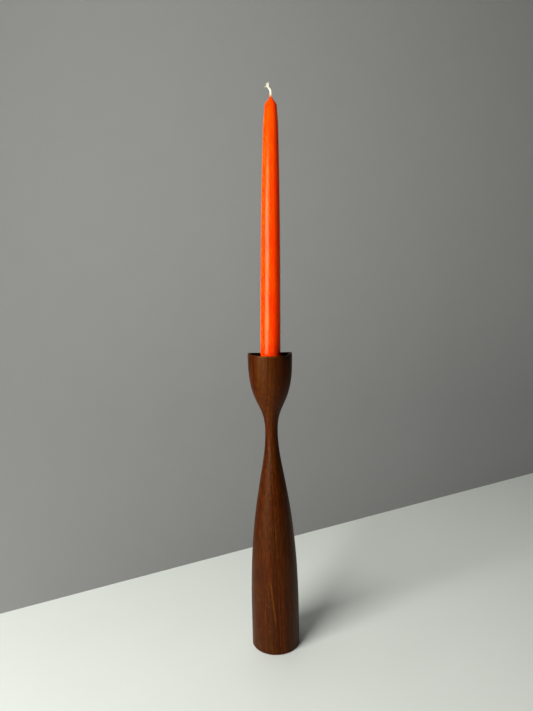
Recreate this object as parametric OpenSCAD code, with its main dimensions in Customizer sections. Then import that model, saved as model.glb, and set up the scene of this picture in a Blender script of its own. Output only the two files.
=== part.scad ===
// Turned wooden candlestick with a taper candle.
// The slim one-piece body has a straight foot, a narrow waist and an open bowl
// with a saddle-shaped rim. A flanged brass socket in the floor of the bowl
// holds the candle. The origin is the centre of the base on the table, +Z is up,
// and the two low points of the rim face along Y.

/* [Turned body] */
// Height of the body at the two low points of its rim
body_h = 323; // [317:1:333]
// Diameter of the straight foot
foot_d = 52.4; // [48:0.2:60]
// Height at which the foot starts to narrow
foot_h = 39; // [30:1:60]
// Diameter of the waist, the thinnest place
waist_d = 13.6; // [11:0.2:18]
// Height of the waist
waist_h = 240; // [230:1:246]
// Outer diameter of the bowl at its rim
bowl_d = 47.6; // [46:0.2:52]
// Rise of the rim's two high points above its low points
rim_rise = 1.8; // [1:0.1:4]
// Wall thickness at the rim
rim_wall = 2; // [1.6:0.1:3]
// Depth of the bowl below the rim's low points
bowl_depth = 20; // [18:0.5:22]

/* [Candle socket] */
// Bore of the socket
socket_bore_d = 23; // [22.8:0.1:23.6]
// Depth of the socket, from the flange's top to its floor
socket_depth = 21; // [18:0.5:22]
// Wall thickness of the socket
socket_wall = 1; // [0.8:0.1:1.2]
// Diameter of the flange that rests on the floor of the bowl
flange_d = 30; // [28:0.5:30]
// Nominal diameter of the countersunk wood screw
screw_d = 3.5; // [3:0.1:4]
// Length of the screw
screw_len = 16; // [12:1:20]

/* [Felt pad] */
// Diameter of the felt pad under the foot
felt_d = 45; // [40:1:46]
// Thickness of the felt
felt_t = 1.4; // [1:0.1:2]
// Depth of the recess that the felt is glued into
felt_recess = 0.8; // [0.4:0.1:0.9]

/* [Candle] */
// Diameter of the candle at its lower end
candle_d = 22; // [21.6:0.1:22]
// Length of the wax, from its lower end to the foot of the wick
candle_len = 305; // [250:1:305]
// How far the candle leans in its loose socket, in degrees towards +X
candle_lean = 1.3; // [0:0.1:1.4]
// Diameter of the braided wick
wick_d = 2.6; // [2:0.1:2.8]

/* [Hidden] */
$fn = 96;

wood_colour = [0.30, 0.15, 0.08];
brass_colour = [0.80, 0.62, 0.28];
felt_colour = [0.13, 0.16, 0.12];
wax_colour = [1.00, 0.30, 0.02];
cotton_colour = [0.93, 0.90, 0.82];

// Fits and small edges
glue_gap = 0.05;
rest_gap = 0.05;
edge_round = 0.5;
overcut = 1;

// Outline of the body, as two cubic curves that meet at the waist.
// Each handle is a share of its curve's height.
curve_steps = 24;
foot_pull = 0.62;
waist_pull_below = 0.22;
waist_pull_above = 0.41;
bowl_pull = 0.65;
base_z = felt_t - felt_recess;
full_width_z = body_h - 4;
rim_top_z = body_h + rim_rise;
stem_span = waist_h - foot_h;
bowl_span = full_width_z - waist_h;

// The saddle of the rim is the cut of a drum that lies along Y.
bowl_r = bowl_d / 2;
drum_r = (bowl_r * bowl_r + rim_rise * rim_rise) / (2 * rim_rise);

// Inside of the bowl
bowl_floor_z = body_h - bowl_depth;
bowl_corner_r = 4;
bowl_taper = 1;
bowl_mouth_r = bowl_r - rim_wall;
bowl_side_r = bowl_mouth_r - bowl_taper;

// Socket
socket_floor = 2;
flange_t = 1;
brass_lip = 0.3;
flange_top_z = bowl_floor_z + flange_t;
seat_z = flange_top_z - socket_depth;
socket_bottom_z = seat_z - socket_floor;
socket_r = socket_bore_d / 2 + socket_wall;

// Screw: a 90 degree head, a short plain shank, then the thread as a row of ridges
head_r = screw_d;
head_h = screw_d / 2;
shank_r = screw_d / 2;
core_r = shank_r * 0.7;
plain_len = 2;
point_len = 2.5;
point_r = 0.2;
thread_pitch = 1.3;
thread_crest = 0.2;
thread_count = floor((screw_len - head_h - plain_len - point_len) / thread_pitch);
slot_w = 0.8;
slot_depth = 0.9;

// Outline of the candle: a long gentle taper, a rounded shoulder and a short cone
candle_r = candle_d / 2;
butt_chamfer = 0.8;
taper_steps = 14;
shoulder_steps = 8;
straight_taper = 1.2;
curved_taper = 2.2;
taper_power = 4;
tip_h = 23;
shoulder_h = 8.5;
shoulder_r = candle_r * 0.585;
cone_h = 2.6;
cone_r = candle_r * 0.255;
shoulder_handle = [-0.25, 2.2];
cone_handle = [1.5, -1.5];

// The candle turns about the middle of the socket as it leans.
grip_z = seat_z + socket_depth / 2;
candle_foot = socket_depth / 2 - candle_r * sin(candle_lean) - rest_gap;

// Route of the bare wick above the wax, as [x, y, z] from its foot, and its four loose strands
strand_r = wick_d * 0.28;
wick_stem = [[0, 0, 0], [0.2, 0, 4.6], [-0.3, 0.1, 7.2], [-1.8, 0.2, 9.2]];
wick_strands = [
    [[-1.8, 0.2, 9.2], [-3.7, 0.5, 11.2], [-4.6, 0.6, 15.0]],
    [[-1.6, 0.1, 9.2], [-3.0, 0.2, 11.6], [-3.1, 0.1, 15.4]],
    [[-1.5, 0.0, 9.2], [-2.2, -0.3, 11.6], [-1.8, -0.5, 15.2]],
    [[-1.8, 0.2, 9.2], [-4.0, -0.1, 10.2], [-6.5, -0.3, 10.6]],
];

// A point on the cubic curve from a to d, where b and c are its handles
function cubic(a, b, c, d, t) =
    pow(1 - t, 3) * a + 3 * pow(1 - t, 2) * t * b + 3 * (1 - t) * t * t * c + t * t * t * d;

// The points of that curve after its first one
function curve(a, b, c, d, steps = curve_steps) =
    [for (i = [1:steps]) cubic(a, b, c, d, i / steps)];

// A quarter of a circle from -Z round to +X, the inside corner of a round vessel
function corner(x, z, r, steps = 8) =
    [for (i = [0:steps]) [x + r * sin(90 * i / steps), z - r * cos(90 * i / steps)]];

// Radius of the candle at a share u of the height of its long taper
function taper_r(u) = candle_r - straight_taper * u - curved_taper * pow(u, taper_power);

module body_outline() {
    foot_r = foot_d / 2;
    waist_r = waist_d / 2;
    stem = curve([foot_r, foot_h], [foot_r, foot_h + foot_pull * stem_span],
                 [waist_r, waist_h - waist_pull_below * stem_span], [waist_r, waist_h]);
    bowl = curve([waist_r, waist_h], [waist_r, waist_h + waist_pull_above * bowl_span],
                 [bowl_r, full_width_z - bowl_pull * bowl_span], [bowl_r, full_width_z]);
    polygon(concat(
        [[0, base_z], [foot_r - edge_round, base_z], [foot_r, base_z + edge_round], [foot_r, foot_h]],
        stem,
        bowl,
        [[bowl_r, rim_top_z + overcut], [0, rim_top_z + overcut]]));
}

module bowl_hollow() {
    rotate_extrude()
        polygon(concat(
            [[0, bowl_floor_z]],
            corner(bowl_side_r - bowl_corner_r, bowl_floor_z + bowl_corner_r, bowl_corner_r),
            [[bowl_mouth_r, rim_top_z], [bowl_mouth_r, rim_top_z + 2 * overcut],
             [0, rim_top_z + 2 * overcut]]));
}

module saddle_drum() {
    translate([0, 0, body_h + drum_r])
        rotate([90, 0, 0])
            cylinder(h = 2 * bowl_d, r = drum_r, center = true, $fn = 360);
}

// Turned from one length of wood: foot, stem and bowl
module turned_body() {
    color(wood_colour)
        difference() {
            rotate_extrude() body_outline();
            bowl_hollow();
            saddle_drum();
            translate([0, 0, socket_bottom_z])
                cylinder(h = bowl_depth + socket_depth, r = socket_r + glue_gap);
            translate([0, 0, seat_z - screw_len])
                cylinder(h = screw_len, r = core_r);
            translate([0, 0, base_z - overcut])
                cylinder(h = felt_recess + overcut, r = felt_d / 2 + glue_gap);
        }
}

// Brass cup whose flange rests on the floor of the bowl
module candle_socket() {
    flange_r = flange_d / 2;
    color(brass_colour)
        difference() {
            rotate_extrude()
                polygon([
                    [0, socket_bottom_z], [socket_r - brass_lip, socket_bottom_z],
                    [socket_r, socket_bottom_z + brass_lip], [socket_r, bowl_floor_z],
                    [flange_r, bowl_floor_z], [flange_r, flange_top_z - brass_lip],
                    [flange_r - brass_lip, flange_top_z], [0, flange_top_z]]);
            translate([0, 0, seat_z])
                cylinder(h = socket_depth + overcut, r = socket_bore_d / 2);
            translate([0, 0, socket_bottom_z - overcut])
                cylinder(h = socket_floor + 2 * overcut, r = shank_r + 2 * glue_gap);
            translate([0, 0, seat_z - head_h])
                cylinder(h = head_h, r1 = shank_r + glue_gap, r2 = head_r + glue_gap);
        }
}

// Countersunk screw that holds the socket down, flush with its floor
module socket_screw() {
    neck_z = seat_z - head_h;
    thread_top_z = neck_z - plain_len;
    tip_z = seat_z - screw_len;
    color(brass_colour)
        difference() {
            union() {
                translate([0, 0, neck_z]) cylinder(h = head_h, r1 = shank_r, r2 = head_r);
                translate([0, 0, thread_top_z]) cylinder(h = neck_z - thread_top_z, r = shank_r);
                translate([0, 0, tip_z + point_len])
                    cylinder(h = thread_top_z - tip_z - point_len, r = core_r);
                translate([0, 0, tip_z]) cylinder(h = point_len, r1 = point_r, r2 = core_r);
                for (i = [0:thread_count - 1])
                    translate([0, 0, thread_top_z - (i + 1) * thread_pitch]) thread_ridge();
            }
            translate([0, 0, seat_z - slot_depth / 2 + overcut / 2])
                cube([2 * head_r + overcut, slot_w, slot_depth + overcut], center = true);
        }
}

module thread_ridge() {
    rotate_extrude()
        polygon([[0, 0], [core_r, 0], [shank_r, (thread_pitch - thread_crest) / 2],
                 [shank_r, (thread_pitch + thread_crest) / 2], [core_r, thread_pitch], [0, thread_pitch]]);
}

// Felt disc glued under the foot, a little proud of the wood
module felt_pad() {
    color(felt_colour) cylinder(h = felt_t, r = felt_d / 2);
}

// Puts its children, drawn upright from the candle's lower end, where the candle leans in the socket
module leaning() {
    translate([0, 0, grip_z])
        rotate([0, candle_lean, 0])
            translate([0, 0, -candle_foot])
                children();
}

module candle_outline() {
    taper_h = candle_len - tip_h;
    shoulder_z = candle_len - shoulder_h;
    cone_z = candle_len - cone_h;
    taper = [for (i = [0:taper_steps])
        [taper_r(i / taper_steps), max(butt_chamfer, taper_h * i / taper_steps)]];
    shoulder = [shoulder_r, shoulder_z];
    cone = [cone_r, cone_z];
    polygon(concat(
        [[0, 0], [candle_r - butt_chamfer, 0]],
        taper,
        [shoulder],
        curve(shoulder, shoulder + shoulder_handle, cone + cone_handle, cone, shoulder_steps),
        [[wick_d / 2, candle_len], [0, candle_len]]));
}

// Solid dipped wax with the wick's channel down its middle
module candle_wax() {
    color(wax_colour)
        leaning()
            difference() {
                rotate_extrude() candle_outline();
                translate([0, 0, -overcut])
                    cylinder(h = candle_len + 2 * overcut, r = wick_d / 2);
            }
}

// Round rod through a list of points
module strand(route, r) {
    for (i = [0:len(route) - 2])
        hull() {
            translate(route[i]) sphere(r = r, $fn = 16);
            translate(route[i + 1]) sphere(r = r, $fn = 16);
        }
}

// Braided wick: the part inside the wax, the bare stem and its frayed end
module wick() {
    color(cotton_colour)
        leaning()
            union() {
                cylinder(h = candle_len, r = wick_d / 2, $fn = 24);
                translate([0, 0, candle_len]) {
                    strand(wick_stem, wick_d / 2);
                    for (route = wick_strands) strand(route, strand_r);
                }
            }
}

turned_body();
candle_socket();
socket_screw();
felt_pad();
candle_wax();
wick();
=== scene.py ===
"""A turned wooden candlestick and its taper candle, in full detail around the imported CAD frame.

Lengths are in millimetres, and MM turns them into Blender's metres. Only the stage, the lights and
the camera are in metres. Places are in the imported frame's axes: the origin is under the foot, +Z is
up and the front, where the camera stands, is -Y.
"""

import math
import random

import bpy
from mathutils import Matrix, Vector, noise


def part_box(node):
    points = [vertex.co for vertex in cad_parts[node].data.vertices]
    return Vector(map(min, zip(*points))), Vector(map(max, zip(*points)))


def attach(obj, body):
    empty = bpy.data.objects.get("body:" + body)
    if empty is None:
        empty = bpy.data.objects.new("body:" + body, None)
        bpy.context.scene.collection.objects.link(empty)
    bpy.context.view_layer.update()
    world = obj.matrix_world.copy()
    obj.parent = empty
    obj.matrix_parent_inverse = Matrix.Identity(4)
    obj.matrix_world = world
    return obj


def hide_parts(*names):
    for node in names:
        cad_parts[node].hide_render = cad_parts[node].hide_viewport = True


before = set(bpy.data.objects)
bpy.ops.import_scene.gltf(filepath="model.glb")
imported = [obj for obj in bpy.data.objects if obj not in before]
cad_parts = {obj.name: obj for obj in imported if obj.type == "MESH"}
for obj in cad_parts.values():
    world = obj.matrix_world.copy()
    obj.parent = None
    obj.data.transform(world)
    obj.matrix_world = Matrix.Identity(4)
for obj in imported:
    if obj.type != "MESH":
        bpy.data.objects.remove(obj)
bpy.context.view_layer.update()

MM = 0.001
HOLDER = "holder"
CANDLE = "candle"


def box_mm(node):
    """A CAD node's lowest and highest corners, in millimetres."""
    return [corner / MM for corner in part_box(node)]


wood_low, wood_high = box_mm("turned_body")
socket_low, socket_high = box_mm("candle_socket")
felt_low, felt_high = box_mm("felt_pad")

# ---- Sizes of the wooden body ----
skin = 0.03                          # how far the detailed surfaces stay inside the CAD ones
foot_r = wood_high.x - skin          # radius of the foot
base_z = wood_low.z                  # underside of the wood, just above the table
foot_h = 39.0                        # top of the foot's straight part
foot_round = 0.8                     # rounding of the foot's bottom edge
waist_z = 240.0                      # height of the slimmest place
waist_r = 6.8
bowl_r = 23.8                        # outer radius at the rim
rim_low_z = 323.0                    # the rim's low points, at the front and the back
full_z = rim_low_z - 4.0             # height where the bowl reaches its full radius
foot_pull = 0.62                     # the outline's curve handles, as shares of the rise that each
waist_pull_below = 0.22              # curve spans
waist_pull_above = 0.41
bowl_pull = 0.65
rim_rise = 1.8                       # how much higher the rim stands at its two sides
drum_r = (bowl_r**2 + rim_rise**2) / (2 * rim_rise)   # radius of the curve that dips the rim
rim_outer_round = 0.6                # mean rounding of the rim's two edges
rim_inner_round = 0.5
chip_angle = math.radians(-43)       # an old chip in the rim: where it is, from +X
chip_half_angle = math.radians(18)
chip_depth = 1.6
bowl_floor_z = rim_low_z - 20.0
bowl_mouth_r = bowl_r - 2.0          # inner radius at the mouth
bowl_side_r = bowl_mouth_r - 1.0     # inner radius low in the bowl
bowl_corner = 4.0                    # rounding between the bowl's floor and side
recess_r = 12.55                     # hole that takes the socket
recess_z = 281.0
pilot_r = 1.225                      # hole that takes the screw
pilot_z = 267.0
felt_recess_r = 22.55
felt_recess_z = felt_high.z

# ---- Sizes of the metal socket ----
socket_r = 12.5
bore_r = 11.5
flange_r = socket_high.x
flange_t = 1.0
socket_seat_z = 283.0                # the floor that the candle stands on
screw_hole_r = 1.9
screw_head_r = 3.6
cup_bend = 0.6                       # outer and inner rounding at the cup's floor
cup_inner_bend = 0.5
mouth_round = 0.6                    # rounding from the flange down into the bore
flange_dish = 0.12                   # how much lower the flange is inside its rolled edge

# ---- Sizes of the candle ----
candle_r = 11.0
candle_len = 305.0
candle_lean = math.radians(1.3)      # it stands a little askew in the loose socket
candle_gap = 0.05                    # left under the lowest point of its butt
half_depth = 0.5 * (socket_high.z - socket_seat_z)
seat_centre_z = socket_seat_z + half_depth   # the candle leans about this height
# from that height down to the candle's lower end, along its axis
candle_foot = half_depth - candle_r * math.sin(candle_lean) - candle_gap
butt_round = 0.8
taper_len = candle_len - 23.0        # the long even taper, below the shoulder and the pointed tip
shoulder_z = candle_len - 8.5
shoulder_r = 0.585 * candle_r
cone_z = candle_len - 2.6
cone_r = 0.255 * candle_r
yarn_r = 0.68                        # one yarn of the wick, and the radius of the twist it follows
twist_r = 0.6

MM_PLACE = Matrix.Scale(MM, 4)
LEAN = (
    Matrix.Translation((0, 0, seat_centre_z))
    @ Matrix.Rotation(candle_lean, 4, "Y")
    @ Matrix.Translation((0, 0, -candle_foot))
)


# ---------------------------------------------------------------- shapes

def cubic(start, leave, arrive, end, steps):
    """Points along a cubic curve after its start, which the caller already has."""
    points = []
    for step in range(1, steps + 1):
        t = step / steps
        s = 1 - t
        weights = (s**3, 3 * s * s * t, 3 * s * t * t, t**3)
        knots = (start, leave, arrive, end)
        points.append(tuple(sum(w * k[i] for w, k in zip(weights, knots)) for i in (0, 1)))
    return points


def arc(centre_r, centre_z, radius, first, last, steps):
    """Points along a circular arc, from angle first to angle last in degrees."""
    points = []
    for step in range(steps + 1):
        angle = math.radians(first + (last - first) * step / steps)
        points.append((centre_r + radius * math.cos(angle), centre_z + radius * math.sin(angle)))
    return points


def line(start, end, steps):
    """Evenly spaced points after start, up to end."""
    return [
        (start[0] + (end[0] - start[0]) * step / steps, start[1] + (end[1] - start[1]) * step / steps)
        for step in range(1, steps + 1)
    ]


def mesh_piece(name, points, faces, place, sharp=40):
    """A smooth-shaded mesh object, its points placed by a matrix and creased where it turns sharply."""
    mesh = bpy.data.meshes.new(name)
    mesh.from_pydata([place @ Vector(point) for point in points], [], faces)
    mesh.shade_smooth()
    mesh.set_sharp_from_angle(angle=math.radians(sharp))
    piece = bpy.data.objects.new(name, mesh)
    bpy.context.scene.collection.objects.link(piece)
    return piece


def lathe(name, section, around, place, loop=False, relief=None):
    """A closed turned surface. section(angle) lists the (radius, height) points of one side.

    It starts and ends on the axis, or closes on itself when loop is true. relief(row, point) may
    push a point out along its own radius.
    """
    points, rings = [], []
    sections = [section(2 * math.pi * turn / around) for turn in range(around)]
    rows = len(sections[0])
    for row in range(rows):
        if sections[0][row][0] < 1e-9:   # on the axis
            rings.append([len(points)] * around)
            points.append(Vector((0, 0, sections[0][row][1])))
            continue
        rings.append([len(points) + turn for turn in range(around)])
        for turn in range(around):
            angle = 2 * math.pi * turn / around
            radius, height = sections[turn][row]
            point = Vector((radius * math.cos(angle), radius * math.sin(angle), height))
            if relief:
                point += relief(row, point) * Vector((math.cos(angle), math.sin(angle), 0))
            points.append(point)
    faces = []
    for row in range(rows if loop else rows - 1):
        low, high = rings[row], rings[(row + 1) % rows]
        for turn in range(around):
            ahead = (turn + 1) % around
            corners = [low[turn], low[ahead], high[ahead], high[turn]]
            corners = [c for i, c in enumerate(corners) if c not in corners[:i]]
            faces.append(corners)
    return mesh_piece(name, points, faces, place)


def smooth_path(knots, steps):
    """A Catmull-Rom curve through the knots, with that many steps between each two."""
    knots = [Vector(knot) for knot in knots]
    knots = [2 * knots[0] - knots[1]] + knots + [2 * knots[-1] - knots[-2]]
    path = []
    for a, b, c, d in zip(knots, knots[1:], knots[2:], knots[3:]):
        for step in range(steps):
            t = step / steps
            path.append(
                0.5 * (2 * b + (c - a) * t + (2 * a - 5 * b + 4 * c - d) * t**2
                       + (3 * b - a - 3 * c + d) * t**3)
            )
    path.append(knots[-2])
    return path


def tube(points, faces, path, radius, sides):
    """Adds a closed tube along a path to a list of points and faces. radius(share) is its radius."""
    normal = Vector((1, 0, 0))
    first = len(points)
    for index, centre in enumerate(path):
        ahead = path[min(index + 1, len(path) - 1)] - path[max(index - 1, 0)]
        ahead.normalize()
        normal = (normal - ahead * normal.dot(ahead)).normalized()
        side = ahead.cross(normal)
        size = radius(index / (len(path) - 1))
        for turn in range(sides):
            angle = 2 * math.pi * turn / sides
            points.append(centre + size * (math.cos(angle) * normal + math.sin(angle) * side))
    for index in range(len(path) - 1):
        low = first + index * sides
        for turn in range(sides):
            ahead = (turn + 1) % sides
            faces.append((low + turn, low + ahead, low + sides + ahead, low + sides + turn))
    faces.append(tuple(first + turn for turn in reversed(range(sides))))
    faces.append(tuple(first + (len(path) - 1) * sides + turn for turn in range(sides)))


# ---------------------------------------------------------------- node trees

def srgb(red, green, blue):
    """A colour given in 0-255 values, as the linear colour that a shader takes."""
    def linear(value):
        value /= 255
        return value / 12.92 if value <= 0.04045 else ((value + 0.055) / 1.055) ** 2.4
    return (linear(red), linear(green), linear(blue), 1.0)


def add(tree, kind, inputs=(), **settings):
    """A node with its settings and inputs. An input that is a socket is linked, others are set."""
    node = tree.nodes.new(kind)
    for name, value in settings.items():
        setattr(node, name, value)
    for key, value in dict(inputs).items():
        if isinstance(value, bpy.types.NodeSocket):
            tree.links.new(value, node.inputs[key])
        else:
            node.inputs[key].default_value = value
    return node


def new_material(name):
    """A material with its tree, its shader and its object coordinates in millimetres."""
    material = bpy.data.materials.new(name)
    material.use_nodes = True
    tree = material.node_tree
    shader = tree.nodes["Principled BSDF"]
    coordinates = add(tree, "ShaderNodeTexCoord").outputs["Object"]
    place = add(tree, "ShaderNodeVectorMath", {0: coordinates, 3: 1 / MM}, operation="SCALE")
    return material, tree, shader, place.outputs[0]


def maths(tree, operation, *values):
    """A sum, product or other operation on values and sockets."""
    return add(tree, "ShaderNodeMath", enumerate(values), operation=operation).outputs[0]


def grain(tree, place, scale, detail=2.0, roughness=0.5, distortion=0.0):
    """Noise from 0 to 1 with its own number of cycles per millimetre along X, Y and Z."""
    stretched = add(tree, "ShaderNodeVectorMath", {0: place, 1: scale}, operation="MULTIPLY")
    inputs = {"Vector": stretched.outputs[0], "Scale": 1.0, "Detail": detail,
              "Roughness": roughness, "Distortion": distortion}
    return add(tree, "ShaderNodeTexNoise", inputs).outputs["Fac"]


def bands(tree, value, scale, detail=2.0, roughness=0.5):
    """Noise from 0 to 1 that changes along one value only."""
    inputs = {"W": value, "Scale": scale, "Detail": detail, "Roughness": roughness}
    return add(tree, "ShaderNodeTexNoise", inputs, noise_dimensions="1D").outputs["Fac"]


def ease(tree, value, low, high, at_low=0.0, at_high=1.0):
    """A smooth step from at_low to at_high while the value goes from low to high."""
    inputs = {0: value, 1: low, 2: high, 3: at_low, 4: at_high}
    return add(tree, "ShaderNodeMapRange", inputs, interpolation_type="SMOOTHSTEP").outputs[0]


def ramp(tree, value, stops):
    """A colour ramp of (position, colour) stops."""
    node = add(tree, "ShaderNodeValToRGB", {0: value})
    elements = node.color_ramp.elements
    while len(elements) < len(stops):
        elements.new(0.5)
    for element, (position, colour) in zip(elements, stops):
        element.position = position
        element.color = colour
    return node.outputs["Color"]


def mix(tree, share, a, b, blend_type="MIX"):
    """One colour blended with another by a share from 0 to 1."""
    inputs = {0: share, 6: a, 7: b}
    return add(tree, "ShaderNodeMix", inputs, data_type="RGBA", blend_type=blend_type).outputs[2]


def stain(tree, colour, mask, strength, other):
    """A colour with another one laid over it where the mask says, at most that strongly."""
    return mix(tree, maths(tree, "MULTIPLY", mask, strength), colour, other)


def bump(tree, height, depth, strength=1.0, under=None):
    """A bump of that many millimetres, over another one."""
    inputs = {"Height": height, "Distance": depth * MM, "Strength": strength}
    if under:
        inputs["Normal"] = under
    return add(tree, "ShaderNodeBump", inputs).outputs["Normal"]


def finish_material(material, shader, tree, values):
    """Sets the shader's own sockets, linking the ones that are given as sockets."""
    for key, value in values.items():
        if isinstance(value, bpy.types.NodeSocket):
            tree.links.new(value, shader.inputs[key])
        else:
            shader.inputs[key].default_value = value
    return material


# ---------------------------------------------------------------- materials

def distance_from_axis(tree, x, y):
    """How far a point is from the upright axis of the turned pieces."""
    across = add(tree, "ShaderNodeCombineXYZ", {0: x, 1: y}).outputs[0]
    return add(tree, "ShaderNodeVectorMath", {0: across}, operation="LENGTH").outputs["Value"]


def streak(tree, across, height, centre, width, low, high):
    """A mask for one upright streak of the grain: its place, its width and the heights it spans."""
    offset = maths(tree, "ABSOLUTE", maths(tree, "SUBTRACT", across, centre))
    mask = ease(tree, offset, 0.5 * width, 0.2 * width)
    mask = maths(tree, "MULTIPLY", mask, ease(tree, height, low - 5.0, low + 5.0))
    return maths(tree, "MULTIPLY", mask, ease(tree, height, high + 12.0, high - 12.0))


def foot_streaks(tree, colour, place, x, z):
    """On the foot one slanting pale streak runs up between a dark band and a dark line."""
    wander = maths(tree, "MULTIPLY", grain(tree, place, (0.03, 0.03, 0.014), 2.0), 1.6)
    across = maths(tree, "ADD", maths(tree, "MULTIPLY_ADD", z, 0.11, x), wander)
    dark_band = streak(tree, across, z, centre=0.6, width=8.0, low=8.0, high=72.0)
    pale_streak = streak(tree, across, z, centre=5.0, width=2.6, low=36.0, high=84.0)
    dark_line = streak(tree, across, z, centre=7.2, width=2.0, low=24.0, high=84.0)
    colour = stain(tree, colour, dark_band, 0.35, srgb(50, 19, 14))
    colour = stain(tree, colour, pale_streak, 0.3, srgb(132, 80, 18))
    return stain(tree, colour, dark_line, 0.45, srgb(34, 12, 6))


def painted_bowl_light_and_shade(tree, colour, x, z):
    """The bowl has a broad golden stripe of painted highlight left of its middle and a deep red stripe
    of painted shade on the right.
    """
    painted_highlight = streak(tree, x, z, centre=-7.0, width=22.0, low=255.0, high=345.0)
    painted_shade = streak(tree, x, z, centre=14.0, width=14.0, low=250.0, high=345.0)
    colour = stain(tree, colour, painted_highlight, 0.1, srgb(116, 66, 4))
    return stain(tree, colour, painted_shade, 0.3, srgb(52, 12, 3))


def wood_colour(tree, place, upright, x, z):
    """The figure of the wood, with a painted highlight and painted shade on the bowl. Also gives its
    streaks, fibres and pores, for its gloss and relief.
    """
    rings = bands(tree, upright, 0.34, 3.0, 0.6)
    fine_rings = bands(tree, upright, 1.5, 2.0, 0.5)
    split = add(tree, "ShaderNodeSeparateXYZ", {0: place}).outputs
    grown = add(tree, "ShaderNodeCombineXYZ", {0: upright, 1: split[1], 2: split[2]}).outputs[0]
    streaks = grain(tree, grown, (0.9, 0.75, 0.007), 4.0, 0.66)
    fibres = grain(tree, grown, (2.4, 2.4, 0.05), 4.0, 0.7)
    pores = ease(tree, grain(tree, grown, (3.1, 3.1, 0.16), 1.0), 0.61, 0.70)
    dashes = ease(tree, grain(tree, grown, (0.95, 0.95, 0.13), 2.0), 0.60, 0.68)
    flecks = ease(tree, grain(tree, grown, (0.7, 0.7, 0.05), 3.0, 0.6), 0.58, 0.70)
    tone = maths(tree, "MULTIPLY", rings, 0.26)
    tone = maths(tree, "MULTIPLY_ADD", streaks, 0.40, tone)
    tone = maths(tree, "MULTIPLY_ADD", fine_rings, 0.18, tone)
    tone = maths(tree, "MULTIPLY_ADD", fibres, 0.16, tone)
    colour = ramp(tree, tone, [
        (0.36, srgb(40, 14, 1)),
        (0.44, srgb(58, 24, 2)),
        (0.51, srgb(73, 34, 3)),
        (0.57, srgb(86, 44, 5)),
        (0.64, srgb(108, 62, 8)),
    ])
    patches = grain(tree, place, (0.05, 0.05, 0.02), 2.0)
    redder = mix(tree, ease(tree, patches, 0.42, 0.62), srgb(255, 252, 244), srgb(255, 228, 220))
    colour = mix(tree, 1.0, colour, redder, "MULTIPLY")
    colour = stain(tree, colour, flecks, 0.32, srgb(132, 82, 16))
    colour = foot_streaks(tree, colour, place, x, z)
    colour = stain(tree, colour, pores, 0.55, srgb(28, 10, 3))
    colour = stain(tree, colour, dashes, 0.5, srgb(28, 10, 3))
    # the bowl's stripes are a painted highlight and painted shade
    return painted_bowl_light_and_shade(tree, colour, x, z), streaks, fibres, pores


def painted_bowl_shade(tree, colour, radius, z):
    """The inside of the bowl is painted darker: painted shade in its hollow."""
    reach = ease(tree, z, full_z - 3.0, full_z + 2.0, bowl_mouth_r + 0.1, bowl_r - 0.8)
    inside = ease(tree, maths(tree, "SUBTRACT", radius, reach), 0.3, -0.3)
    inside = maths(tree, "MULTIPLY", inside, ease(tree, z, bowl_floor_z - 3.0, bowl_floor_z - 1.0))
    return stain(tree, colour, inside, 0.85, srgb(26, 12, 6))


def painted_rim_highlight(tree, colour, place, radius, x, z):
    """A painted highlight makes the rim's outer edge paler at the front and the back."""
    sides_up = maths(tree, "DIVIDE", maths(tree, "MULTIPLY", x, x), 2 * drum_r)
    above_rim = maths(tree, "SUBTRACT", z, maths(tree, "ADD", sides_up, rim_low_z))
    outer_edge = ease(tree, radius, bowl_r - 1.1, bowl_r - 0.5)
    rim_highlight = maths(tree, "MULTIPLY", ease(tree, above_rim, -2.0, -0.6), outer_edge)
    rim_highlight = maths(tree, "MULTIPLY", rim_highlight, ease(tree, maths(tree, "ABSOLUTE", x), 14.0, 9.0))
    patchy = ease(tree, grain(tree, place, (0.35, 0.35, 0.8), 2.0), 0.35, 0.6)
    return stain(tree, colour, maths(tree, "MULTIPLY", rim_highlight, patchy), 0.4, srgb(140, 84, 40))


def dark_patch_at_chip(tree, colour, place):
    """The wood is darker around the chip in the rim."""
    chip_place = (bowl_r * math.cos(chip_angle), bowl_r * math.sin(chip_angle), rim_low_z)
    off_chip = add(tree, "ShaderNodeVectorMath", {0: place, 1: chip_place}, operation="DISTANCE")
    ragged = grain(tree, place, (0.4, 0.4, 0.25), 3.0, 0.7)
    off_chip = maths(tree, "MULTIPLY_ADD", ragged, 6.0, off_chip.outputs["Value"])
    return mix(tree, ease(tree, off_chip, 10.0, 6.5, 0.0, 0.8), colour, srgb(26, 10, 5))


def scuffs_and_ticks(tree, colour, place, z):
    """Pale scuffs low on the body, and short dark marks left across the grain by sanding and use."""
    scuffs = ease(tree, grain(tree, place, (0.5, 0.5, 0.17), 4.0, 0.75, 0.6), 0.62, 0.70)
    scuffs = maths(tree, "MULTIPLY", scuffs, ease(tree, z, 120.0, 40.0))
    colour = stain(tree, colour, scuffs, 0.45, srgb(156, 116, 98))
    ticks = ease(tree, grain(tree, place, (0.35, 0.35, 1.3), 2.0, 0.6), 0.60, 0.70)
    return stain(tree, colour, ticks, 0.4, srgb(44, 16, 8))


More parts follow.
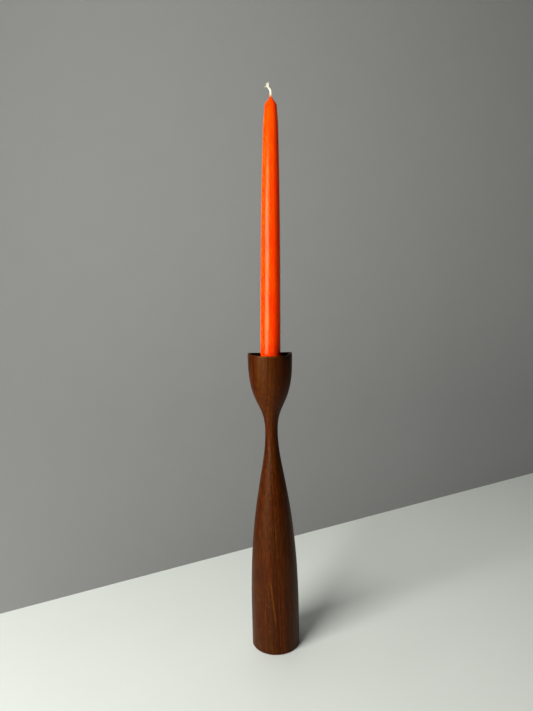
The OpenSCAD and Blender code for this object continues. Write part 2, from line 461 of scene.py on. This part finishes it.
def wood_material():
    """Dark red-brown oiled wood: tilted growth bands, long streaks, fibres, pores and wear, with
    painted shade and highlights on the bowl and its rim.
    """
    material, tree, shader, place = new_material("oiled_wood")
    split = add(tree, "ShaderNodeSeparateXYZ", {0: place}).outputs
    x, y, z = split[0], split[1], split[2]
    # the grain stands nearly upright: it leans a little and wanders
    sway = maths(tree, "MULTIPLY", grain(tree, place, (0.03, 0.03, 0.007), 2.0), 5.0)
    upright = maths(tree, "MULTIPLY_ADD", z, 0.02, maths(tree, "ADD", x, sway))
    upright = maths(tree, "MULTIPLY_ADD", y, 0.30, upright)
    colour, streaks, fibres, pores = wood_colour(tree, place, upright, x, z)
    radius = distance_from_axis(tree, x, y)
    # painted shade inside the bowl
    colour = painted_bowl_shade(tree, colour, radius, z)
    # painted highlight on the rim's outer edge
    colour = painted_rim_highlight(tree, colour, place, radius, x, z)
    colour = dark_patch_at_chip(tree, colour, place)
    colour = scuffs_and_ticks(tree, colour, place, z)
    turning_marks = bands(tree, z, 1.4, 2.0, 0.7)
    rough = maths(tree, "MULTIPLY_ADD", streaks, 0.14, 0.29)
    rough = maths(tree, "MULTIPLY_ADD", pores, 0.18, rough)
    rough = maths(tree, "MULTIPLY_ADD", turning_marks, 0.06, rough)
    height = maths(tree, "MULTIPLY_ADD", fibres, 0.5, maths(tree, "MULTIPLY", pores, -1.0))
    normal = bump(tree, height, 0.035, 1.0, bump(tree, turning_marks, 0.012))
    return finish_material(material, shader, tree, {
        "Base Color": colour, "Roughness": rough, "Normal": normal,
        "Specular IOR Level": 0.24, "Specular Tint": srgb(255, 226, 190),
    })


def brass_material():
    """Turned brass with fine lathe lines, a dull film and a few darker spots."""
    material, tree, shader, place = new_material("aged_brass")
    split = add(tree, "ShaderNodeSeparateXYZ", {0: place}).outputs
    radius = distance_from_axis(tree, split[0], split[1])
    lathe_lines = bands(tree, maths(tree, "ADD", radius, split[2]), 5.0, 2.0, 0.7)
    film = grain(tree, place, (0.3, 0.3, 0.3), 4.0, 0.6)
    spots = ease(tree, grain(tree, place, (0.9, 0.9, 0.9), 3.0, 0.6), 0.62, 0.72)
    colour = ramp(tree, film, [
        (0.30, srgb(150, 108, 52)),
        (0.52, srgb(196, 152, 78)),
        (0.72, srgb(214, 176, 100)),
    ])
    colour = stain(tree, colour, spots, 0.6, srgb(82, 56, 30))
    rough = maths(tree, "MULTIPLY_ADD", film, 0.22, 0.2)
    rough = maths(tree, "MULTIPLY_ADD", spots, 0.2, rough)
    return finish_material(material, shader, tree, {
        "Base Color": colour, "Roughness": rough, "Metallic": 1.0,
        "Normal": bump(tree, lathe_lines, 0.02),
    })


def felt_material():
    """Matted wool: short fibres in every direction, a little dust and a soft sheen."""
    material, tree, shader, place = new_material("wool_felt")
    matted = grain(tree, place, (1.6, 1.6, 1.6), 5.0, 0.7, 1.2)
    along = grain(tree, place, (6.0, 1.2, 3.0), 3.0, 0.6, 0.8)
    across = grain(tree, place, (1.2, 6.0, 3.0), 3.0, 0.6, 0.8)
    fibres = maths(tree, "MAXIMUM", along, across)
    tone = maths(tree, "MULTIPLY_ADD", matted, 0.5, maths(tree, "MULTIPLY", fibres, 0.5))
    colour = ramp(tree, tone, [
        (0.36, srgb(24, 32, 22)),
        (0.54, srgb(46, 58, 40)),
        (0.70, srgb(84, 94, 72)),
    ])
    return finish_material(material, shader, tree, {
        "Base Color": colour, "Roughness": 0.95, "Sheen Weight": 0.4, "Sheen Roughness": 0.5,
        "Specular IOR Level": 0.2, "Normal": bump(tree, tone, 0.25),
    })


def wax_material():
    """Glossy dyed wax that light soaks into, a little paler where the dye is thin."""
    material, tree, shader, place = new_material("orange_wax")
    clouds = grain(tree, place, (0.09, 0.09, 0.03), 3.0, 0.55)
    runs = grain(tree, place, (0.5, 0.5, 0.012), 3.0, 0.5)
    tone = maths(tree, "MULTIPLY_ADD", clouds, 0.6, maths(tree, "MULTIPLY", runs, 0.4))
    colour = ramp(tree, tone, [
        (0.32, srgb(250, 72, 0)),
        (0.50, srgb(254, 82, 0)),
        (0.68, srgb(255, 94, 0)),
    ])
    specks = ease(tree, grain(tree, place, (0.7, 0.7, 0.5), 2.0, 0.5), 0.70, 0.78)
    colour = stain(tree, colour, specks, 0.25, srgb(255, 130, 30))
    rough = maths(tree, "MULTIPLY_ADD", runs, 0.12, 0.14)
    return finish_material(material, shader, tree, {
        "Base Color": colour, "Roughness": rough,
        "Subsurface Weight": 1.0, "Subsurface Radius": (1.0, 0.05, 0.02),
        "Subsurface Scale": 8 * MM, "IOR": 1.44, "Specular Tint": srgb(255, 232, 205),
        "Normal": bump(tree, runs, 0.03, 1.0, bump(tree, clouds, 0.07)),
    })


def cotton_material():
    """Cream cotton yarn, soaked orange on one side where it leaves the wax."""
    material, tree, shader, place = new_material("cotton_yarn")
    split = add(tree, "ShaderNodeSeparateXYZ", {0: place}).outputs
    threads = grain(tree, place, (9.0, 9.0, 3.0), 3.0, 0.6, 0.5)
    colour = ramp(tree, threads, [
        (0.34, srgb(206, 192, 158)),
        (0.52, srgb(240, 232, 208)),
        (0.68, srgb(252, 248, 234)),
    ])
    wax_tip = LEAN @ Vector((0, 0, candle_len))
    soaked = ease(tree, split[2], wax_tip.z + 3.7, wax_tip.z + 0.8)
    one_side = ease(tree, split[0], wax_tip.x + 0.9, wax_tip.x - 0.5, 0.2, 1.0)
    colour = mix(tree, maths(tree, "MULTIPLY", soaked, one_side), colour, srgb(255, 128, 44))
    return finish_material(material, shader, tree, {
        "Base Color": colour, "Roughness": 0.85, "Sheen Weight": 0.3, "Sheen Roughness": 0.4,
        "Subsurface Weight": 0.3, "Subsurface Radius": (1.0, 0.9, 0.7), "Subsurface Scale": 0.8 * MM,
        "Normal": bump(tree, threads, 0.08),
    })


# ---------------------------------------------------------------- pieces

def chip(angle):
    """Depth of the old chip in the rim, its edges rubbed smooth, to the right of the candle as the
    photo sees it.
    """
    off = math.remainder(angle - chip_angle, 2 * math.pi) / chip_half_angle
    if abs(off) >= 1:
        return 0.0
    ragged = 1 + 0.3 * noise.noise(Vector((9 * angle, 2.0, 5.0)))
    return chip_depth * ragged * (1 - abs(off) ** 2.6) ** 2


def dip(radius, angle):
    """Height of the dipped rim over a point of the wall, less the chip."""
    return rim_low_z + drum_r - math.sqrt(drum_r**2 - (radius * math.cos(angle)) ** 2) - chip(angle)


def edge_wear(angle, seed):
    """The rim's edges are rounded by hand, a little more in some places than in others."""
    around = Vector((2.2 * math.cos(angle), 2.2 * math.sin(angle), seed))
    return 1 + 0.35 * noise.noise(around)


def wood_underside():
    """One side of the underside, from the axis over the felt's recess to the foot's edge."""
    points = [(0, felt_recess_z), (8, felt_recess_z), (16, felt_recess_z)]
    points += [(felt_recess_r, felt_recess_z), (felt_recess_r, base_z + 0.1)]
    return points + [(felt_recess_r + 0.1, base_z)]


def wood_outside():
    """One side of the outer wall, from the foot's rounded edge to just below the rim."""
    points = arc(foot_r - foot_round, base_z + foot_round, foot_round, -90, 0, 6)
    points += line(points[-1], (foot_r, foot_h), 30)
    rise = waist_z - foot_h
    leave = (foot_r, foot_h + foot_pull * rise)
    arrive = (waist_r, waist_z - waist_pull_below * rise)
    points += cubic(points[-1], leave, arrive, (waist_r, waist_z), 120)
    rise = full_z - waist_z
    leave = (waist_r, waist_z + waist_pull_above * rise)
    arrive = (bowl_r, full_z - bowl_pull * rise)
    return points + cubic(points[-1], leave, arrive, (bowl_r, full_z), 64)


def wood_inside(angle):
    """One side of the rim, the bowl, the socket's hole and the pilot hole, down to the axis."""
    outer_round = rim_outer_round * edge_wear(angle, 3.0)
    inner_round = rim_inner_round * edge_wear(angle, 9.0)
    rim_z = dip(bowl_r, angle) - outer_round
    points = line((bowl_r, full_z), (bowl_r, rim_z), 4)
    points += arc(bowl_r - outer_round, rim_z, outer_round, 15, 90, 5)
    crest_r = bowl_mouth_r + inner_round
    points += line(points[-1], (crest_r, dip(crest_r, angle)), 3)
    points += arc(crest_r, dip(crest_r, angle) - inner_round, inner_round, 105, 180, 5)
    corner_r = bowl_side_r - bowl_corner
    points += line(points[-1], (bowl_side_r, bowl_floor_z + bowl_corner), 14)
    points += arc(corner_r, bowl_floor_z + bowl_corner, bowl_corner, -10, -90, 8)
    points += [(recess_r + 0.2, bowl_floor_z), (recess_r, bowl_floor_z - 0.2), (recess_r, recess_z)]
    return points + [(pilot_r, recess_z), (pilot_r, pilot_z), (0, pilot_z)]


def wood_section(angle):
    """One side of the wooden body."""
    return wood_underside() + wood_outside() + wood_inside(angle)


def wood_dents(count=16):
    """Small knocks of a used object, most of them low on the body: angle, height, radius, depth."""
    chance = random.Random(4)
    dents = []
    for _ in range(count):
        angle = chance.uniform(0, 2 * math.pi)
        height = 4 + 150 * chance.random() ** 1.6
        dents.append((angle, height, chance.uniform(1.2, 2.6), chance.uniform(0.05, 0.14)))
    return dents


def wood_body():
    """The turned body, with a dipped rim rounded by hand and the marks of use."""
    dents = [
        (Vector((foot_r * math.cos(angle), foot_r * math.sin(angle), height)), radius, depth)
        for angle, height, radius, depth in wood_dents()
    ]
    first_row = len(wood_underside())
    last_row = first_row + len(wood_outside())

    def relief(row, point):
        """How far the outer wall sinks: a slight hand-sanded waviness, and the dents."""
        if row < first_row or row >= last_row:
            return 0.0
        fade = min(1.0, (full_z - point.z) / 8, (point.z - base_z) / 2)
        sink = -0.035 * fade * (1 + noise.noise(point * 0.06))
        for centre, radius, depth in dents:
            near = (point - centre).length / radius
            if near < 1:
                sink -= depth * (1 - near * near) ** 2
        return sink

    piece = lathe("wood_body", wood_section, 192, MM_PLACE, relief=relief)
    piece.data.materials.append(wood_material())
    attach(piece, HOLDER)
    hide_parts("turned_body")
    return piece


def socket_section(_angle):
    """One side of the thin metal cup with its rolled flange, as a closed loop."""
    low_z, top_z = socket_low.z, socket_high.z
    flange_z = top_z - flange_t
    edge = flange_t / 2
    points = [(screw_hole_r, low_z), (socket_r - cup_bend, low_z)]
    points += arc(socket_r - cup_bend, low_z + cup_bend, cup_bend, -75, 0, 4)
    points += line(points[-1], (socket_r, flange_z - 0.15), 6)
    points += [(socket_r + 0.15, flange_z)]
    points += arc(flange_r - edge, flange_z + edge, edge, -90, 90, 10)
    points += [(flange_r - 1.2, top_z - flange_dish), (bore_r + 1.3, top_z - flange_dish)]
    points += arc(bore_r + mouth_round, top_z - mouth_round, mouth_round, 90, 180, 5)
    bend_z = socket_seat_z + cup_inner_bend
    points += line(points[-1], (bore_r, bend_z), 6)
    points += arc(bore_r - cup_inner_bend, bend_z, cup_inner_bend, -20, -90, 4)
    points += [(screw_head_r + 0.1, socket_seat_z), (screw_hole_r, low_z + 0.35)]
    return points


def brass_socket(brass):
    """The cup that holds the candle, let into the bowl's floor."""
    piece = lathe("brass_socket", socket_section, 128, MM_PLACE, loop=True)
    piece.data.materials.append(brass)
    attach(piece, HOLDER)
    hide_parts("candle_socket")
    return piece


def felt_section(angle):
    """One side of the felt disc, cut a little unevenly."""
    around = Vector((3 * math.cos(angle), 3 * math.sin(angle), 0))
    cut_r = felt_high.x - 0.12 + 0.1 * noise.noise(around)
    top_z = felt_high.z - 0.02
    low_z = felt_low.z + 0.01
    edge = 0.35
    points = [(0, low_z)] + line((0, low_z), (cut_r - edge, low_z), 16)
    points += arc(cut_r - edge, felt_low.z + edge, edge, -60, 0, 3)
    points += arc(cut_r - edge, top_z - edge, edge, 0, 90, 3)
    points += line(points[-1], (0, top_z), 10)
    return points


def felt_disc():
    """The pad let into the underside, matted and slightly lumpy."""
    piece = lathe("felt_disc", felt_section, 144, MM_PLACE)
    for vertex in piece.data.vertices:
        point = vertex.co / MM
        if point.z < 0.5 * felt_high.z:
            vertex.co.z += 0.12 * MM * (0.5 + 0.5 * noise.noise(point * 0.7))
    piece.data.materials.append(felt_material())
    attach(piece, HOLDER)
    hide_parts("felt_pad")
    return piece


def candle_radius(height):
    """The taper's radius at a height above its lower end.

    It narrows by 1.2 mm evenly and by 2.2 mm more towards the top, as dipped candles do.
    """
    share = height / taper_len
    return candle_r - 1.2 * share - 2.2 * share**4


def candle_section(_angle):
    """One side of the taper, from its cut butt over the pointed tip to the wick."""
    points = [(0, 0.0), (4, 0.0), (8, 0.0)]
    points += arc(candle_r - butt_round, butt_round, butt_round, -90, 0, 5)
    rows = 140
    heights = [butt_round + (taper_len - butt_round) * row / rows for row in range(1, rows + 1)]
    points += [(candle_radius(height), height) for height in heights]
    points += line(points[-1], (shoulder_r, shoulder_z), 8)
    leave, arrive = (shoulder_r - 0.25, shoulder_z + 2.2), (cone_r + 1.5, cone_z - 1.5)
    points += cubic(points[-1], leave, arrive, (cone_r, cone_z), 10)
    points += line(points[-1], (1.6, candle_len - 0.5), 5)
    points += [(1.35, candle_len - 0.1), (1.2, candle_len + 0.3), (1.1, candle_len + 0.5)]
    points += [(0, candle_len + 0.5)]
    return points


def wax_taper():
    """The dipped taper candle, leaning a little in its socket."""
    def relief(_row, point):
        """Dipped wax is never quite even: slow swellings and faint runs down its length."""
        if point.z < 2 or point.z > candle_len - 4:
            return 0.0
        swelling = noise.noise(Vector((point.x * 0.05, point.y * 0.05, point.z * 0.02)))
        run = noise.noise(Vector((point.x * 0.35, point.y * 0.35, point.z * 0.012 + 7)))
        return 0.05 * swelling + 0.03 * run - 0.05

    piece = lathe("wax_taper", candle_section, 96, MM_PLACE @ LEAN, relief=relief)
    piece.data.materials.append(wax_material())
    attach(piece, CANDLE)
    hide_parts("candle_wax")
    return piece


# the wick's route, from just inside the tip of the wax, and the yarns that it frays into
STEM = [(0, 0, -3), (0, 0, 0), (0.2, 0, 4.6), (-0.3, 0.1, 7.2), (-1.8, 0.2, 9.2)]
FRAYS = [
    [(-1.8, 0.2, 9.2), (-3.7, 0.5, 11.2), (-4.6, 0.6, 15.0)],
    [(-1.6, 0.1, 9.2), (-3.0, 0.2, 11.6), (-3.1, 0.1, 15.4)],
    [(-1.5, 0, 9.2), (-2.2, -0.3, 11.6), (-1.8, -0.5, 15.2)],
    [(-1.8, 0.2, 9.2), (-4.0, -0.1, 10.2), (-6.5, -0.3, 10.6)],
]


def twisted_yarns(points, faces, yarns=3):
    """The wick's stem: yarns twisted round each other along its route."""
    stem = smooth_path(STEM, 12)
    steps_per_turn = 16
    for yarn in range(yarns):
        path = []
        for index, centre in enumerate(stem):
            turn = 2 * math.pi * (yarn / yarns + index / steps_per_turn)
            path.append(centre + twist_r * Vector((math.cos(turn), 0.9 * math.sin(turn), 0)))
        tube(points, faces, path, lambda share: yarn_r, 10)


def frayed_fibres(points, faces, fray, chance, fibres=11):
    """One frayed yarn: loose fibres of uneven length that spread and thin towards their ends."""
    route = smooth_path(fray, 6)
    for _ in range(fibres):
        offset = Vector([chance.uniform(-0.42, 0.42) for _ in range(3)])
        spread = Vector([chance.uniform(-0.35, 0.35) for _ in range(3)])
        last = chance.uniform(0.85, 1.0)
        kept = route[: max(4, int(len(route) * last))]
        size = chance.uniform(0.14, 0.24)
        path = []
        for index, centre in enumerate(kept):
            share = index / (len(kept) - 1)
            path.append(centre + offset * (1 - 0.3 * share) + spread * share * share)
        tube(points, faces, path, lambda share, size=size: size * (1 - 0.55 * share), 6)


def cotton_wick():
    """A twisted wick whose end has frayed into a tuft and one loose yarn."""
    chance = random.Random(11)
    points, faces = [], []
    twisted_yarns(points, faces)
    for fray in FRAYS:
        frayed_fibres(points, faces, fray, chance)
    place = MM_PLACE @ LEAN @ Matrix.Translation((0, 0, candle_len))
    piece = mesh_piece("cotton_wick", points, faces, place, sharp=60)
    piece.data.materials.append(cotton_material())
    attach(piece, CANDLE)
    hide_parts("wick")
    return piece


# ---------------------------------------------------------------- studio

def plane(name, corners):
    """A flat stage surface from its corners, in metres."""
    mesh = bpy.data.meshes.new(name)
    mesh.from_pydata(corners, [], [tuple(range(len(corners)))])
    surface = bpy.data.objects.new(name, mesh)
    bpy.context.scene.collection.objects.link(surface)
    return surface


def painted(name, colour, roughness, speckle):
    """Plain paint with the slightest unevenness."""
    material, tree, shader, place = new_material(name)
    uneven = grain(tree, place, (speckle, speckle, speckle), 3.0)
    darker = tuple(0.96 * channel for channel in colour[:3]) + (1.0,)
    return finish_material(material, shader, tree, {
        "Base Color": mix(tree, uneven, colour, darker), "Roughness": roughness,
        "Specular IOR Level": 0.35,
    })


def stage():
    """A pale table top whose back edge slants, and a plain grey backdrop behind it."""
    side = 2.5
    back_left, back_right = -1.12, 1.63
    table = plane("table_top", [
        (-side, -side, 0), (side, -side, 0), (side, back_right, 0), (-side, back_left, 0),
    ])
    table.data.materials.append(painted("table_paint", srgb(222, 226, 218), 0.3, 0.01))
    wall_y, wall_side, wall_low_z, wall_high_z = 1.3, 4, -2, 4
    wall = plane("backdrop", [
        (-wall_side, wall_y, wall_low_z), (wall_side, wall_y, wall_low_z),
        (wall_side, wall_y, wall_high_z), (-wall_side, wall_y, wall_high_z),
    ])
    wall.data.materials.append(painted("wall_paint", srgb(158, 158, 154), 0.8, 0.01))


def area_light(name, place, target, size, watts, shine=True):
    """A soft rectangular light at a place, facing a target. Without shine it has no reflection."""
    light = bpy.data.lights.new(name, "AREA")
    light.shape = "RECTANGLE"
    light.size, light.size_y = size
    light.energy = watts
    lamp = bpy.data.objects.new(name, light)
    lamp.location = place
    lamp.rotation_euler = (Vector(target) - Vector(place)).to_track_quat("-Z", "Y").to_euler()
    lamp.visible_glossy = shine
    bpy.context.scene.collection.objects.link(lamp)


def lights():
    """A wide soft window at the front left, the sky over it, a weak ceiling and a grey room.

    The wall light stands below the table's level, so nearly all of its light goes to the wall.
    """
    middle = (0, 0, 0.30)
    area_light("window_light", (-0.95, -1.0, 0.58), middle, (1.0, 0.75), 15)
    area_light("sky_light", (-0.95, -1.0, 1.35), middle, (0.9, 0.75), 21, shine=False)
    area_light("ceiling_light", (-0.65, 0.05, 2.2), (0, 0, 0), (2.0, 2.0), 10, shine=False)
    area_light("wall_light", (-2.0, 0.0, -1.3), (-0.5, 1.3, -0.3), (1.6, 1.6), 28, shine=False)
    world = bpy.data.worlds.new("room")
    world.use_nodes = True
    background = world.node_tree.nodes["Background"]
    background.inputs["Color"].default_value = (0.9, 0.95, 1.0, 1)
    background.inputs["Strength"].default_value = 0.045
    bpy.context.scene.world = world


def camera():
    """The photograph's viewpoint: a little above the bowl, looking slightly down, slightly askew."""
    eye = (-0.00355, -0.569, 0.3722)
    pitch = math.radians(5.04)
    roll = math.radians(-1.285)
    forward = Vector((0, math.cos(pitch), -math.sin(pitch)))
    level_up = Vector((0, math.sin(pitch), math.cos(pitch)))
    right = math.cos(roll) * Vector((1, 0, 0)) + math.sin(roll) * level_up
    up = math.cos(roll) * level_up - math.sin(roll) * Vector((1, 0, 0))
    data = bpy.data.cameras.new("camera")
    data.sensor_width = 36
    data.lens = 26.99
    data.clip_start = 0.01
    view = bpy.data.objects.new("camera", data)
    turn = Matrix((right, up, -forward)).transposed().to_4x4()
    view.matrix_world = Matrix.Translation(eye) @ turn
    bpy.context.scene.collection.objects.link(view)
    bpy.context.scene.camera = view


camera()
brass = brass_material()
wood_body()
brass_socket(brass)
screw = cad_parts["socket_screw"]
screw.data.materials.clear()
screw.data.materials.append(brass)
felt_disc()
wax_taper()
cotton_wick()
stage()
lights()
bpy.context.scene.view_settings.view_transform = "Standard"
bpy.context.scene.view_settings.look = "Medium High Contrast"
